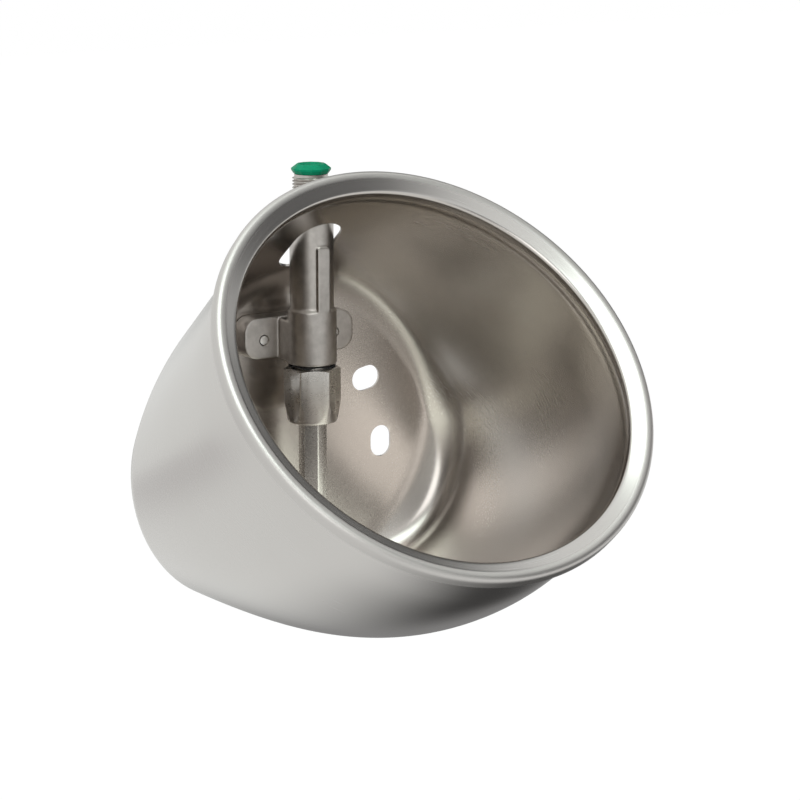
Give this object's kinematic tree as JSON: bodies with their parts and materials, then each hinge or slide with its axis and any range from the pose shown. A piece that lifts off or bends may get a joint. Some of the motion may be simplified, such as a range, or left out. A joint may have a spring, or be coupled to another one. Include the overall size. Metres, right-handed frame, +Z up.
{
  "type": "livestock drinking bowl",
  "caption": "Deep pressed stainless drinking bowl for a wall, with a slanted round mouth, a rolled lip and a hexagonal tube valve inside it that opens when it is pushed sideways.",
  "frame": {"origin": "the middle of the round flat on the bowl's back, on the wall's face", "axes": "+Z up the wall, +Y into the wall, so the bowl stands out towards -Y; X across the bowl"},
  "size_m": [0.251, 0.24, 0.2508],
  "materials": {
    "satin_stainless_sheet": "satin",
    "cast_stainless": "matt cast",
    "stainless_bar": "satin",
    "spring_steel": "bright",
    "white_acetal": "smooth",
    "green_polyethylene": "waxy",
    "black_rubber": "matt",
    "brass": "turned"
  },
  "bodies": {
    "bowl_and_valve": {"bowl": "satin_stainless_sheet", "valve_body": "cast_stainless", "fixing_screw_right": "stainless_bar", "fixing_screw_left": "stainless_bar", "union_nut": "stainless_bar", "nut_gasket": "black_rubber", "valve_seat": "brass", "seat_o_ring": "black_rubber", "seat_lock_ring": "brass", "return_spring": "spring_steel", "spring_washer": "stainless_bar", "flow_nozzle": "white_acetal", "strainer_cage": "white_acetal", "strainer_screen": "spring_steel", "strainer_washer": "black_rubber"},
    "swivel": {"slip_ring": "white_acetal"},
    "tube": {"drinking_tube": "stainless_bar", "tube_head": "stainless_bar"},
    "plunger": {"plunger_stem": "stainless_bar", "seat_seal": "black_rubber", "seal_holder": "brass"},
    "cap": {"thread_cap": "green_polyethylene"}
  },
  "joints": [
    {"name": "tube_direction", "type": "hinge", "parent": "bowl_and_valve", "child": "swivel", "pos_m": [0, -0.0281, 0.0097], "axis": [0, 0, 1], "continuous": true},
    {"name": "tube_tilt", "type": "hinge", "parent": "swivel", "child": "tube", "pos_m": [0, -0.0176, 0.0112], "axis": [-1, 0, 0], "range_deg": [0, 8], "stiffness_Nm_per_rad": 0.1},
    {"name": "plunger_lift", "type": "slide", "parent": "bowl_and_valve", "child": "plunger", "axis": [0, 0, 1], "range_m": [0, 0.00147], "deforming": ["return_spring"]},
    {"name": "cap_pull", "type": "slide", "parent": "bowl_and_valve", "child": "cap", "axis": [0, 0, 1], "range_m": [0, 0.012]}
  ],
  "couplings": [
    {"joint": "plunger_lift", "follows": "tube_tilt", "m_per_rad": 0.0105}
  ]
}
